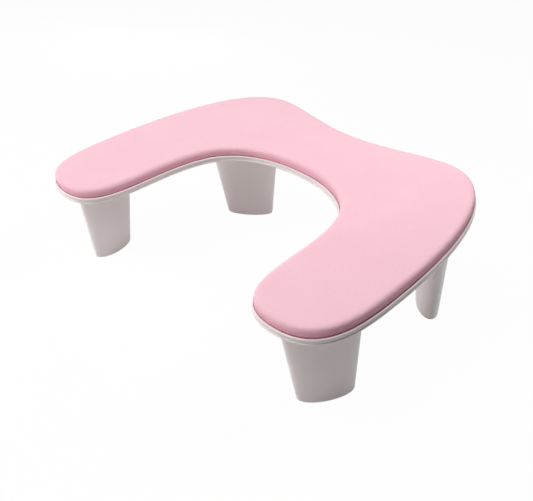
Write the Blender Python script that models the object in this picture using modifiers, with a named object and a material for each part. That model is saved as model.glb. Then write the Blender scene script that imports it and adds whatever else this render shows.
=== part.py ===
"""Hand rest with a horseshoe deck: a padded board in a moulded tray on four tapered oval legs.

Run with: blender --background --python part.py
Units are metres, +Z is up. The arms point to -Y, and the deck rises from their tips to the back.
Everything is modelled square to the deck and hung on one empty, which gives the deck its slope.
In the deck's own frame the top of the rim is z = 0, and y = 0 touches the tips of the arms.
"""

import bmesh
import bpy
from math import cos, pi, radians, sin, tan
from mathutils import Matrix, Vector

# Plan of the rim, given for the right half. Insets are measured from the widest line.
DECK_WIDTH = 0.520
DECK_DEPTH = 0.380
WIDEST_Y = 0.112
CREST_INSET = 0.112
NOTCH_DIP = 0.0235
TIP_INSET = 0.070
BAY_DEPTH = 0.242
FLANK_INSET = 0.143
FLANK_Y = 0.186
FLANK_LEAN = radians(24)

# Lengths of the outline's handles, in the order in which the outline runs
NOTCH_PULL_LENGTH = 0.0575
CREST_PULL_IN_LENGTH = 0.036
CREST_PULL_OUT_LENGTH = 0.1055
WIDEST_PULL_BACK_LENGTH = 0.073
WIDEST_PULL_FRONT_LENGTH = 0.0605
TIP_PULL_OUT_LENGTH = 0.0645
TIP_PULL_IN_LENGTH = 0.0865
FLANK_PULL_FRONT_LENGTH = 0.083
FLANK_PULL_BACK_LENGTH = 0.020
BAY_PULL_LENGTH = 0.081
OUTLINE_STEPS = 10

# How the deck stands
DECK_SLOPE = radians(10.25)
TIP_RIM_HEIGHT = 0.119

# Tray
RIM_LEDGE = 0.0018
RECESS_DEPTH = 0.003
DECK_THICKNESS = 0.0025
SKIRT_HEIGHT = 0.008
SKIRT_WALL = 0.0025
RIM_FILLET = 0.0008
SKIRT_FILLET = 0.001
RIB_THICKNESS = 0.002
RIB_DROP = 0.002
RIB_PITCH = 0.075

# Pad: cover, foam and board
COVER_THICKNESS = 0.001
HEM_WIDTH = 0.018
BOARD_THICKNESS = 0.003
PAD_RISE = 0.012
PAD_ROLL = 0.0085
ROLL_STEPS = 5
INNER_ROLL_STEPS = 3

# Legs
FOOT_LENGTH = 0.0735
FOOT_WIDTH = 0.0305
TAPER_LENGTH = 0.246
TAPER_WIDTH = 0.124
LEG_WALL = 0.0025
LEG_FLOOR = 0.003
LEG_SEGMENTS = 32
WEB_THICKNESS = 0.002
FRONT_LEG_INSET = 0.0591
FRONT_LEG_Y = 0.067
FRONT_LEG_TURN = radians(70)
FRONT_LEG_SPLAY = (0.083, -0.020)
BACK_LEG_INSET = 0.0822
BACK_LEG_SETBACK = 0.0733
BACK_LEG_TURN = radians(131)
BACK_LEG_SPLAY = (0.016, 0.039)

# Spigots under the tray, which the legs slip over
SPIGOT_DROP = 0.006
SPIGOT_WALL = 0.002

# Rubber feet
FOOT_PAD_THICKNESS = 0.002
FOOT_SOCKET_DEPTH = 0.001
FOOT_PAD_MARGIN = 0.004

# Screws
LEG_SCREW_SPREAD = 0.044
LEG_SCREW_LENGTH = 0.019
LEG_SCREW_HEAD = 0.0075
LEG_SCREW_SHANK = 0.0036
PAD_SCREW_LENGTH = 0.0078
PAD_SCREW_HEAD = 0.0065
PAD_SCREW_SHANK = 0.0030
SCREW_HEAD_DEPTH = 0.002
BOSS_WALL = 0.0026
BRIDGE_SCREW_X = 0.055
ARM_SCREW_INSET = 0.071
ARM_SCREW_CLEAR = 0.075

# Clearance between pieces that touch
FIT = 0.0003

# Bevel profile of a quarter circle
ROUND = 0.5

# Facets round a drum, a screw or its hole
DRUM_SEGMENTS = 16
TURN_SEGMENTS = 12

# Tolerances for welding points and for finding points of one level
WELD = 0.00002
SAME = 0.00001

# Levels in the deck's frame
RECESS_FLOOR = -RECESS_DEPTH
DECK_UNDERSIDE = RECESS_FLOOR - DECK_THICKNESS
HEM_BOTTOM = RECESS_FLOOR + FIT
BOARD_BOTTOM = HEM_BOTTOM + COVER_THICKNESS + FIT
BOARD_TOP = BOARD_BOTTOM + BOARD_THICKNESS
LEG_TOP = DECK_UNDERSIDE - FIT
SPIGOT_BOTTOM = DECK_UNDERSIDE - SPIGOT_DROP
WEB_TOP = SPIGOT_BOTTOM - FIT

COLOURS = {
    "leather": ((0.95, 0.60, 0.66, 1.0), 0.62, 0.0),
    "plastic": ((0.82, 0.79, 0.785, 1.0), 0.32, 0.0),
    "foam": ((0.86, 0.82, 0.66, 1.0), 0.95, 0.0),
    "board": ((0.55, 0.38, 0.22, 1.0), 0.80, 0.0),
    "rubber": ((0.30, 0.29, 0.29, 1.0), 0.85, 0.0),
    "steel": ((0.62, 0.62, 0.63, 1.0), 0.35, 1.0),
}


def clear_scene():
    """Remove what the scene starts with."""
    for old in list(bpy.data.objects):
        bpy.data.objects.remove(old, do_unlink=True)


def make_collection(name):
    """A collection of the scene."""
    collection = bpy.data.collections.new(name)
    bpy.context.scene.collection.children.link(collection)
    return collection


def add_object(name, mesh):
    """Put a mesh in the scene as a working object."""
    obj = bpy.data.objects.new(name, mesh)
    bpy.context.scene.collection.objects.link(obj)
    return obj


def baked(obj):
    """The object's mesh with its modifiers applied."""
    depsgraph = bpy.context.evaluated_depsgraph_get()
    return bpy.data.meshes.new_from_object(obj.evaluated_get(depsgraph))


def combine(obj, tool, operation="DIFFERENCE"):
    """Cut the tool from the object, or join it on, and use the tool up."""
    modifier = obj.modifiers.new(operation.title(), "BOOLEAN")
    modifier.operation = operation
    modifier.solver = "EXACT"
    modifier.object = tool
    mesh = baked(obj)
    obj.modifiers.clear()
    old = obj.data
    obj.data = mesh
    bpy.data.meshes.remove(old)
    bpy.data.objects.remove(tool, do_unlink=True)


def from_bmesh(name, bm):
    """An object from a bmesh, which is freed."""
    mesh = bpy.data.meshes.new(name)
    bm.normal_update()
    bm.to_mesh(mesh)
    bm.free()
    return add_object(name, mesh)


def edit(obj, change):
    """Run a bmesh change on an object's mesh."""
    bm = bmesh.new()
    bm.from_mesh(obj.data)
    change(bm)
    bm.normal_update()
    bm.to_mesh(obj.data)
    bm.free()


# The deck's outline

def outline_anchors():
    """Anchors of the right half from notch to bay: point, pull before and pull after."""
    half = DECK_WIDTH / 2
    lean = Vector((-sin(FLANK_LEAN), cos(FLANK_LEAN)))
    right = Vector((1.0, 0.0))
    back = Vector((0.0, 1.0))
    return [
        (Vector((0.0, DECK_DEPTH - NOTCH_DIP)), -right * NOTCH_PULL_LENGTH, right * NOTCH_PULL_LENGTH),
        (Vector((half - CREST_INSET, DECK_DEPTH)), -right * CREST_PULL_IN_LENGTH, right * CREST_PULL_OUT_LENGTH),
        (Vector((half, WIDEST_Y)), back * WIDEST_PULL_BACK_LENGTH, -back * WIDEST_PULL_FRONT_LENGTH),
        (Vector((half - TIP_INSET, 0.0)), right * TIP_PULL_OUT_LENGTH, -right * TIP_PULL_IN_LENGTH),
        (Vector((half - FLANK_INSET, FLANK_Y)), -lean * FLANK_PULL_FRONT_LENGTH, lean * FLANK_PULL_BACK_LENGTH),
        (Vector((0.0, BAY_DEPTH)), right * BAY_PULL_LENGTH, -right * BAY_PULL_LENGTH),
    ]


def mirrored(anchors):
    """The same anchors on the left, met in the opposite order."""
    flip = Matrix.Diagonal((-1.0, 1.0))
    return [(flip @ point, flip @ after, flip @ before) for point, before, after in reversed(anchors)]


def slab(name, inset, low, high):
    """The deck's outline, drawn in by inset, as a plate from low to high."""
    half = outline_anchors()
    anchors = half + mirrored(half[1:-1])
    curve = bpy.data.curves.new(name, "CURVE")
    curve.dimensions = "2D"
    curve.fill_mode = "BOTH"
    curve.resolution_u = OUTLINE_STEPS
    curve.extrude = (high - low) / 2
    curve.offset = -inset
    spline = curve.splines.new("BEZIER")
    spline.use_cyclic_u = True
    spline.bezier_points.add(len(anchors) - 1)
    for bezier_point, (point, before, after) in zip(spline.bezier_points, anchors):
        bezier_point.handle_left_type = "FREE"
        bezier_point.handle_right_type = "FREE"
        bezier_point.co = (*point, 0.0)
        bezier_point.handle_left = (*(point + before), 0.0)
        bezier_point.handle_right = (*(point + after), 0.0)
    drawn = add_object(name + "_outline", curve)
    plate = add_object(name, baked(drawn))
    bpy.data.objects.remove(drawn, do_unlink=True)

    def close(bm):
        bmesh.ops.remove_doubles(bm, verts=bm.verts, dist=WELD)
        bmesh.ops.translate(bm, vec=(0.0, 0.0, (low + high) / 2), verts=bm.verts)
        for side in (-1, 1):
            cap = [face for face in bm.faces if face.normal.z * side > 0.9]
            bmesh.ops.dissolve_faces(bm, faces=cap)
        bmesh.ops.recalc_face_normals(bm, faces=bm.faces)

    edit(plate, close)
    return plate


def level_edges(bm, height):
    """Edges that lie at one height."""
    return [edge for edge in bm.edges if all(abs(vert.co.z - height) < SAME for vert in edge.verts)]


def cushion(name, inset, low, rise, roll, steps):
    """The deck's outline as a cushion with upright sides and a rounded top edge."""
    obj = slab(name, inset, low, rise)

    def round_over(bm):
        bmesh.ops.bevel(
            bm,
            geom=level_edges(bm, rise),
            offset=roll,
            offset_type="OFFSET",
            segments=steps,
            profile=ROUND,
            affect="EDGES",
        )

    edit(obj, round_over)
    return obj


# Simple solids in the deck's frame

def drum(name, centre, diameter, low, high, segments=DRUM_SEGMENTS):
    """A plain round post or hole, square to the deck."""
    bm = bmesh.new()
    bmesh.ops.create_cone(
        bm, cap_ends=True, segments=segments, radius1=diameter / 2, radius2=diameter / 2, depth=high - low
    )
    bmesh.ops.translate(bm, vec=(centre[0], centre[1], (low + high) / 2), verts=bm.verts)
    return from_bmesh(name, bm)


def box(name, centre, size, turn, low, high):
    """A plain upright box, turned about its own centre line."""
    bm = bmesh.new()
    bmesh.ops.create_cube(bm, size=1.0)
    bmesh.ops.scale(bm, vec=(size[0], size[1], high - low), verts=bm.verts)
    bmesh.ops.rotate(bm, matrix=Matrix.Rotation(turn, 3, "Z"), verts=bm.verts)
    bmesh.ops.translate(bm, vec=(centre[0], centre[1], (low + high) / 2), verts=bm.verts)
    return from_bmesh(name, bm)


def turned(name, profile, segments=TURN_SEGMENTS):
    """A turned solid: a profile at +X, top to bottom, swept by a Screw modifier."""
    bm = bmesh.new()
    verts = [bm.verts.new((radius, 0.0, height)) for radius, height in profile]
    for upper, lower in zip(verts, verts[1:]):
        bm.edges.new((upper, lower))
    obj = from_bmesh(name, bm)
    screw = obj.modifiers.new("Turn", "SCREW")
    screw.steps = segments
    screw.render_steps = segments
    screw.use_merge_vertices = True
    screw.merge_threshold = SAME
    obj.data = baked(obj)
    obj.modifiers.clear()
    return obj


# Legs

class Leg:
    """Where one leg stands, and how its oval section grows from the foot to the deck."""

    def __init__(self, side, inset, y, turn, splay):
        self.top = Vector((side * (DECK_WIDTH / 2 - inset), y))
        self.turn = turn if side > 0 else pi - turn
        self.splay = Vector((side * splay[0], splay[1]))
        self.foot_level = self.floor_under(self.top)
        foot = self.top + self.splay * (LEG_TOP - self.foot_level)
        self.foot_level = self.floor_under(foot)
        self.foot = self.top + self.splay * (LEG_TOP - self.foot_level)

    @staticmethod
    def floor_under(point):
        """Height of the floor in the deck's frame, at a point of the plan."""
        return -TIP_RIM_HEIGHT / cos(DECK_SLOPE) - point.y * tan(DECK_SLOPE)

    def size(self, height, margin):
        """Length and width of the oval at a height, drawn in by margin all round."""
        rise = height - self.foot_level
        return (
            FOOT_LENGTH + TAPER_LENGTH * rise - 2 * margin,
            FOOT_WIDTH + TAPER_WIDTH * rise - 2 * margin,
        )

    def along(self, distance):
        """A point of the plan on the oval's long axis, at the top."""
        return self.top + Vector((cos(self.turn), sin(self.turn))) * distance

    def screws(self):
        """Centres of the leg's two screws."""
        return [self.along(side * LEG_SCREW_SPREAD / 2) for side in (-1, 1)]

    def oval(self, name, margin, low, high):
        """The leg's tapered oval form between two heights, drawn in by margin."""
        bm = bmesh.new()
        bmesh.ops.create_cone(
            bm, cap_ends=True, segments=LEG_SEGMENTS, radius1=0.5, radius2=0.5, depth=high - low
        )
        bmesh.ops.translate(bm, vec=(0.0, 0.0, (low + high) / 2), verts=bm.verts)
        for height in (low, high):
            ring = [vert for vert in bm.verts if abs(vert.co.z - height) < SAME]
            length, width = self.size(height, margin)
            bmesh.ops.scale(bm, vec=(length, width, 1.0), verts=ring)
        bmesh.ops.rotate(bm, matrix=Matrix.Rotation(self.turn, 3, "Z"), verts=bm.verts)
        bmesh.ops.translate(bm, vec=(*self.top, 0.0), verts=bm.verts)
        self.lean(bm)
        return from_bmesh(name, bm)

    def lean(self, bm):
        """Slide every level sideways, so that the leg splays from its top."""
        for vert in bm.verts:
            vert.co.xy += self.splay * (LEG_TOP - vert.co.z)


def floor_cut(obj, height):
    """Cut an object off parallel to the floor, at a height above it."""
    normal = Vector((0.0, sin(DECK_SLOPE), cos(DECK_SLOPE)))
    point = Vector((0.0, 0.0, -TIP_RIM_HEIGHT / cos(DECK_SLOPE))) + normal * height

    def cut(bm):
        bmesh.ops.bisect_plane(
            bm, geom=bm.verts[:] + bm.edges[:] + bm.faces[:], plane_co=point, plane_no=normal, clear_inner=True
        )
        rim = [edge for edge in bm.edges if edge.is_boundary]
        bmesh.ops.holes_fill(bm, edges=rim)
        bmesh.ops.recalc_face_normals(bm, faces=bm.faces)

    edit(obj, cut)


def foot_disc(name, leg, margin, low, high):
    """An upright oval disc under a leg, between two heights above the floor."""
    bm = bmesh.new()
    bmesh.ops.create_cone(
        bm, cap_ends=True, segments=LEG_SEGMENTS, radius1=0.5, radius2=0.5, depth=high - low
    )
    size = (FOOT_LENGTH - 2 * margin, FOOT_WIDTH - 2 * margin, 1.0)
    bmesh.ops.scale(bm, vec=size, verts=bm.verts)
    bmesh.ops.rotate(bm, matrix=Matrix.Rotation(leg.turn, 3, "Z"), verts=bm.verts)
    bmesh.ops.translate(bm, vec=(0.0, 0.0, (low + high) / 2), verts=bm.verts)
    bmesh.ops.rotate(bm, matrix=Matrix.Rotation(-DECK_SLOPE, 3, "X"), verts=bm.verts)
    bmesh.ops.translate(bm, vec=(*leg.foot, leg.foot_level), verts=bm.verts)
    return from_bmesh(name, bm)


def make_leg(name, leg):
    """A moulded leg: an open-topped oval cup with two screw bosses joined by a web."""
    below_floor = leg.foot_level - FOOT_LENGTH * tan(DECK_SLOPE)
    sole = FOOT_PAD_THICKNESS - FOOT_SOCKET_DEPTH
    body = leg.oval(name, 0.0, below_floor, LEG_TOP)
    floor_cut(body, sole)
    core = leg.oval("core", LEG_WALL, below_floor, LEG_TOP + FIT)
    floor_cut(core, sole + LEG_FLOOR)
    boss = LEG_SCREW_SHANK + 2 * FIT + 2 * BOSS_WALL
    posts = [box("web", leg.top, (FOOT_LENGTH * 3, WEB_THICKNESS), leg.turn, below_floor, WEB_TOP)]
    posts += [drum("boss", centre, boss, below_floor, WEB_TOP) for centre in leg.screws()]
    for post in posts:
        edit(post, leg.lean)
        combine(core, post)
    combine(body, core)
    tip = RECESS_FLOOR - LEG_SCREW_LENGTH - FIT
    for centre in leg.screws():
        combine(body, drum("bore", centre, LEG_SCREW_SHANK + 2 * FIT, tip, WEB_TOP + FIT, TURN_SEGMENTS))
    socket = foot_disc("socket", leg, FOOT_PAD_MARGIN - FIT, 0.0, FOOT_PAD_THICKNESS + FIT)
    combine(body, socket)
    return body


# Tray

def pad_screw_places():
    """Centres of the screws that hold the pad, in the deck's plan."""
    bridge_y = (BAY_DEPTH + DECK_DEPTH - NOTCH_DIP) / 2
    arm_x = DECK_WIDTH / 2 - ARM_SCREW_INSET
    arm_ys = (FRONT_LEG_Y + ARM_SCREW_CLEAR, DECK_DEPTH - BACK_LEG_SETBACK - ARM_SCREW_CLEAR)
    places = [(BRIDGE_SCREW_X, bridge_y)] + [(arm_x, y) for y in arm_ys]
    return [Vector((side * x, y)) for x, y in places for side in (-1, 1)]


def rib_boxes():
    """Stiffening ribs in both directions over the whole plan."""
    low = DECK_UNDERSIDE - RIB_DROP
    high = DECK_UNDERSIDE + FIT
    span = DECK_WIDTH + DECK_DEPTH
    count_x = int(DECK_WIDTH / 2 / RIB_PITCH)
    ribs = [
        box("rib", (step * RIB_PITCH, DECK_DEPTH / 2), (RIB_THICKNESS, span), 0.0, low, high)
        for step in range(-count_x, count_x + 1)
    ]
    count_y = int(DECK_DEPTH / RIB_PITCH)
    ribs += [
        box("rib", (0.0, (step + 0.5) * RIB_PITCH), (span, RIB_THICKNESS), 0.0, low, high)
        for step in range(count_y)
    ]
    return ribs


def countersink(name, centre, shank, head, face, depth, upward):
    """A screw hole with a conical mouth that opens at face, upward or downward."""
    sign = 1 if upward else -1
    radius = shank / 2 + FIT
    profile = [
        (0.0, sign * FIT),
        (head / 2 + FIT, sign * FIT),
        (head / 2 + FIT, 0.0),
        (radius, -sign * SCREW_HEAD_DEPTH),
        (radius, -sign * depth),
        (0.0, -sign * depth),
    ]
    if not upward:
        profile.reverse()
    hole = turned(name, profile)
    edit(hole, lambda bm: bmesh.ops.translate(bm, vec=(*centre, face), verts=bm.verts))
    return hole


def make_tray(name, legs):
    """The moulded tray: rim and recess above, ribs, spigots and screw bosses below."""
    tray = slab(name, 0.0, -SKIRT_HEIGHT, 0.0)

    def soften(bm):
        for height, fillet, steps in ((0.0, RIM_FILLET, 1), (-SKIRT_HEIGHT, SKIRT_FILLET, 2)):
            bmesh.ops.bevel(
                bm,
                geom=level_edges(bm, height),
                offset=fillet,
                offset_type="OFFSET",
                segments=steps,
                profile=ROUND,
                affect="EDGES",
            )

    edit(tray, soften)
    combine(tray, slab("recess", RIM_LEDGE, RECESS_FLOOR, FIT))
    core = slab("pocket", SKIRT_WALL, -SKIRT_HEIGHT - FIT, DECK_UNDERSIDE)
    for rib in rib_boxes():
        combine(core, rib)
    for leg in legs:
        combine(core, leg.oval("seat", -FIT, -SKIRT_HEIGHT - FIT, DECK_UNDERSIDE), "UNION")
    for centre in pad_screw_places():
        post = PAD_SCREW_SHANK + 2 * FIT + 4 * BOSS_WALL
        combine(core, drum("post", centre, post, DECK_UNDERSIDE - RIB_DROP, DECK_UNDERSIDE + FIT))
    combine(tray, core)
    for leg in legs:
        spigot = leg.oval("spigot", LEG_WALL + FIT, SPIGOT_BOTTOM, DECK_UNDERSIDE + FIT)
        bore_margin = LEG_WALL + FIT + SPIGOT_WALL
        combine(spigot, leg.oval("bore", bore_margin, SPIGOT_BOTTOM - FIT, DECK_UNDERSIDE + 2 * FIT))
        combine(tray, spigot, "UNION")
        boss = LEG_SCREW_SHANK + 2 * FIT + 2 * BOSS_WALL
        for centre in leg.screws():
            combine(tray, drum("boss", centre, boss, SPIGOT_BOTTOM, DECK_UNDERSIDE + FIT), "UNION")
            depth = DECK_THICKNESS + SPIGOT_DROP + FIT
            hole = countersink("hole", centre, LEG_SCREW_SHANK, LEG_SCREW_HEAD, RECESS_FLOOR, depth, True)
            combine(tray, hole)
    for centre in pad_screw_places():
        face = DECK_UNDERSIDE - RIB_DROP
        depth = DECK_THICKNESS + RIB_DROP + FIT
        combine(tray, countersink("hole", centre, PAD_SCREW_SHANK, PAD_SCREW_HEAD, face, depth, False))
    return tray


# Pad

def pad_inset(layers):
    """Distance from the rim's outline to a piece of the pad, under so many layers of cover and gap."""
    return RIM_LEDGE + FIT + layers * COVER_THICKNESS


def make_cover(name):
    """The cover: a skin over top and sides, with a hem turned in under the board."""
    cover = cushion(name, pad_inset(0), HEM_BOTTOM, PAD_RISE, PAD_ROLL, ROLL_STEPS)
    hem_top = HEM_BOTTOM + COVER_THICKNESS
    inner_roll = PAD_ROLL - COVER_THICKNESS
    inner_rise = PAD_RISE - COVER_THICKNESS
    inside = cushion("inside", pad_inset(1), hem_top, inner_rise, inner_roll, INNER_ROLL_STEPS)
    combine(cover, inside)
    combine(cover, slab("mouth", pad_inset(0) + HEM_WIDTH, HEM_BOTTOM - FIT, hem_top + FIT))
    return cover


def make_board(name):
    """The stiff board that the foam and cover are stretched over, with blind screw holes."""
    board = slab(name, pad_inset(1) + FIT, BOARD_BOTTOM, BOARD_TOP)
    tip = DECK_UNDERSIDE - RIB_DROP + PAD_SCREW_LENGTH + FIT
    for centre in pad_screw_places():
        combine(board, drum("bore", centre, PAD_SCREW_SHANK + 2 * FIT, BOARD_BOTTOM - FIT, tip, TURN_SEGMENTS))
    return board


def make_foam(name):
    """The foam between board and cover."""
    thickness = COVER_THICKNESS + FIT
    inset = pad_inset(1) + FIT
    foam = cushion(name, inset, BOARD_BOTTOM, PAD_RISE - thickness, PAD_ROLL - thickness, INNER_ROLL_STEPS)
    combine(foam, slab("room_for_board", inset - FIT, BOARD_BOTTOM - FIT, BOARD_TOP + FIT))
    return foam


# Screws

def make_screw(name, centre, shank, head, length, face, upward):
    """A countersunk screw whose head is flush with face, pointing down from above or up from below."""
    sign = 1 if upward else -1
    tip = length - shank / 2
    profile = [
        (0.0, 0.0),
        (head / 2, 0.0),
        (shank / 2, -sign * SCREW_HEAD_DEPTH),
        (shank / 2, -sign * tip),
        (0.0, -sign * length),
    ]
    if not upward:
        profile.reverse()
    screw = turned(name, profile)
    edit(screw, lambda bm: bmesh.ops.translate(bm, vec=(*centre, face), verts=bm.verts))
    return screw


# Assembly

def make_material(name, slot):
    """The Principled material of one sub-part."""
    colour, roughness, metallic = COLOURS[slot]
    material = bpy.data.materials.new(name)
    material.use_nodes = True
    shader = material.node_tree.nodes["Principled BSDF"]
    shader.inputs["Base Color"].default_value = colour
    shader.inputs["Roughness"].default_value = roughness
    shader.inputs["Metallic"].default_value = metallic
    material.diffuse_color = colour
    return material


def finish(obj, slot, collection, parent):
    """Shade a piece, give it its material and hang it on the deck's empty."""
    mesh = obj.data
    mesh.materials.clear()
    mesh.materials.append(make_material(obj.name, slot))
    mesh.shade_smooth()
    mesh.set_sharp_from_angle(angle=radians(35))
    bpy.context.scene.collection.objects.unlink(obj)
    collection.objects.link(obj)
    obj.parent = parent


def make_legs():
    """The four legs by name."""
    legs = {}
    for word, side in (("left", -1), ("right", 1)):
        legs["front_" + word] = Leg(side, FRONT_LEG_INSET, FRONT_LEG_Y, FRONT_LEG_TURN, FRONT_LEG_SPLAY)
        back_y = DECK_DEPTH - BACK_LEG_SETBACK
        legs["back_" + word] = Leg(side, BACK_LEG_INSET, back_y, BACK_LEG_TURN, BACK_LEG_SPLAY)
    return legs


def build_pieces():
    """Every piece of the hand rest with the name of its finish."""
    legs = make_legs()
    pieces = [
        (make_tray("tray", legs.values()), "plastic"),
        (make_board("pad_board"), "board"),
        (make_foam("pad_foam"), "foam"),
        (make_cover("pad_cover"), "leather"),
    ]
    for name, leg in legs.items():
        pieces.append((make_leg("leg_" + name, leg), "plastic"))
        pieces.append((foot_disc("foot_" + name, leg, FOOT_PAD_MARGIN, 0.0, FOOT_PAD_THICKNESS), "rubber"))
        for number, centre in enumerate(leg.screws(), 1):
            screw_name = "leg_screw_%s_%d" % (name, number)
            screw = make_screw(
                screw_name, centre, LEG_SCREW_SHANK, LEG_SCREW_HEAD, LEG_SCREW_LENGTH, RECESS_FLOOR - FIT, True
            )
            pieces.append((screw, "steel"))
    for number, centre in enumerate(pad_screw_places(), 1):
        face = DECK_UNDERSIDE - RIB_DROP + FIT
        screw = make_screw(
            "pad_screw_%d" % number, centre, PAD_SCREW_SHANK, PAD_SCREW_HEAD, PAD_SCREW_LENGTH - FIT, face, False
        )
        pieces.append((screw, "steel"))
    return pieces


def stand_on_origin(deck, pieces):
    """Slope the deck, and slide it so that the origin is under the middle of the whole."""
    deck.rotation_euler.x = DECK_SLOPE
    deck.location.z = TIP_RIM_HEIGHT
    bpy.context.view_layer.update()
    depths = [(piece.matrix_world @ vert.co).y for piece, _ in pieces for vert in piece.data.vertices]
    deck.location.y = -(min(depths) + max(depths)) / 2


def main():
    """Build the hand rest."""
    clear_scene()
    collection = make_collection("hand_rest")
    deck = bpy.data.objects.new("deck", None)
    collection.objects.link(deck)
    pieces = build_pieces()
    for piece, slot in pieces:
        finish(piece, slot, collection, deck)
    stand_on_origin(deck, pieces)


main()
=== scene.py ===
"""Looks of a horseshoe hand rest: a pink padded board in a white moulded tray on four tapered legs.

Pieces are modelled square to the deck, where z = 0 is the top of the rim and y = 0 touches the
tips of the arms. Each one is then sloped with the deck and set down on the CAD frame.
"""

from math import cos, pi, radians, sin, tan

import bpy
from bpy.props import FloatProperty, FloatVectorProperty, IntProperty, PointerProperty
from mathutils import Matrix, Vector


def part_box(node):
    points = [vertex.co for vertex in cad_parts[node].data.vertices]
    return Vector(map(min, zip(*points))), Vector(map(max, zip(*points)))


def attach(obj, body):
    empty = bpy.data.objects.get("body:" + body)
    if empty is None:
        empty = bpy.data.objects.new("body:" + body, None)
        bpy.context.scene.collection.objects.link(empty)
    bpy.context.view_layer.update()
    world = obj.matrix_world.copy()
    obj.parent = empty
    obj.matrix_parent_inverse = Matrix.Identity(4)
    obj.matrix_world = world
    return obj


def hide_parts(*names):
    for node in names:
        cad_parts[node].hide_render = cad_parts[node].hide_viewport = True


bl_info = {
    "name": "Horseshoe Hand Rest",
    "version": (1, 0, 0),
    "blender": (4, 5, 0),
    "location": "View3D > Sidebar > Hand Rest",
    "description": "Models and finishes a padded horseshoe hand rest on its CAD frame",
    "category": "Object",
}

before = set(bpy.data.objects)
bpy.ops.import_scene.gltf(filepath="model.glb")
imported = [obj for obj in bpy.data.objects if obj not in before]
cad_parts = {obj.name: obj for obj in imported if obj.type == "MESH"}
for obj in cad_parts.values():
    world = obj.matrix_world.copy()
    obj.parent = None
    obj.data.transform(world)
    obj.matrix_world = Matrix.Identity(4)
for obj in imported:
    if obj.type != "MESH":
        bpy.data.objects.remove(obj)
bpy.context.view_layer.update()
TRAY_LOW, TRAY_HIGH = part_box("tray")

SIDES = (("left", -1), ("right", 1))
ENDS = ("front", "back")

# Points closer than this are one point, and points this near to a height lie at it
WELD = 0.00002
SAME = 0.00001

# A face whose normal has this much up or down in it is level
LEVEL = 0.9

# Facets of round posts and holes, and steps of small and large rounded edges
POST_SIDES = 48
HOLE_SIDES = 24
EDGE_STEPS = 3
ROLL_STEPS = 12

# Edges flatter than this are shaded smooth
SMOOTH = radians(35)

# Frames of the cloth simulation, and the height below which the cover is held in the tray
CLOTH_FRAMES = 20
HELD_BELOW = 0.001

# The lamps: name, place and width; they all look at one point of the deck
LAMPS = (
    ("key", (-0.07, -0.80, 1.54), 0.6),
    ("front", (-0.25, -1.20, 1.18), 0.6),
    ("left", (-1.27, -0.89, 0.56), 0.6),
    ("side", (-1.34, 0.77, 0.56), 0.6),
    ("top", (0.15, 0.25, 0.75), 0.3),
    ("back", (0.50, 0.70, 1.10), 0.4),
)
LAMP_AIM = Vector((0.0, 0.0, 0.15))

# The floor: its width, how far it lies below the feet, and its grey
FLOOR_WIDTH = 60.0
FLOOR_DROP = 0.0002
FLOOR_GREY = 0.86


def length(name, text, default):
    """A length in metres."""
    return FloatProperty(name=name, description=text, default=default, unit="LENGTH", precision=4)


def angle(name, text, default):
    """An angle, given in degrees."""
    return FloatProperty(name=name, description=text, default=radians(default), subtype="ANGLE")


def ratio(name, text, default):
    """A plain number."""
    return FloatProperty(name=name, description=text, default=default, precision=3)


def colour(name, text, default):
    """A linear colour."""
    return FloatVectorProperty(
        name=name, description=text, default=default, subtype="COLOR", size=3, min=0.0, max=1.0
    )


def vector(name, text, default, subtype="NONE"):
    """A place, a direction or a slide."""
    return FloatVectorProperty(
        name=name, description=text, default=default, subtype=subtype, size=len(default), precision=4
    )


class HandRestPlan(bpy.types.PropertyGroup):
    """The outline of the rim, given for the right half, and how the deck stands."""

    width: length("Width", "Widest place across the rim", TRAY_HIGH.x - TRAY_LOW.x)
    depth: length("Depth", "From the tips of the arms to the crests at the back", 0.380)
    widest_y: length("Widest at", "How far behind the tips the rim is widest", 0.112)
    crest_inset: length("Crest inset", "From the widest line to the crest", 0.112)
    notch_dip: length("Notch dip", "How far the back dips in the middle", 0.0235)
    tip_inset: length("Tip inset", "From the widest line to the tip of the arm", 0.070)
    bay_depth: length("Bay depth", "From the tips to the head of the bay", 0.242)
    flank_inset: length("Flank inset", "From the widest line to the flank of the bay", 0.143)
    flank_y: length("Flank at", "How far behind the tips the flank is measured", 0.186)
    flank_lean: angle("Flank lean", "How far the flank leans inwards to the back", 24)
    notch_pull: length("Notch pull", "Handle of the outline at the notch", 0.0575)
    crest_pull_in: length("Crest pull in", "Handle of the outline before the crest", 0.036)
    crest_pull_out: length("Crest pull out", "Handle of the outline after the crest", 0.1055)
    widest_pull_back: length("Widest pull back", "Handle of the outline behind the widest place", 0.073)
    widest_pull_front: length("Widest pull front", "Handle of the outline before the widest place", 0.0605)
    tip_pull_out: length("Tip pull out", "Handle of the outline outside the tip", 0.0645)
    tip_pull_in: length("Tip pull in", "Handle of the outline inside the tip", 0.0865)
    flank_pull_front: length("Flank pull front", "Handle of the outline before the flank", 0.083)
    flank_pull_back: length("Flank pull back", "Handle of the outline behind the flank", 0.020)
    bay_pull: length("Bay pull", "Handle of the outline at the head of the bay", 0.081)
    steps: IntProperty(name="Steps", description="Points on each stretch of the outline", default=26, min=4)
    slope: angle("Slope", "How far the deck rises to the back", 10.25)
    rim_height: length("Rim height", "Height of the rim over the table at the tips", 0.119)


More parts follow.
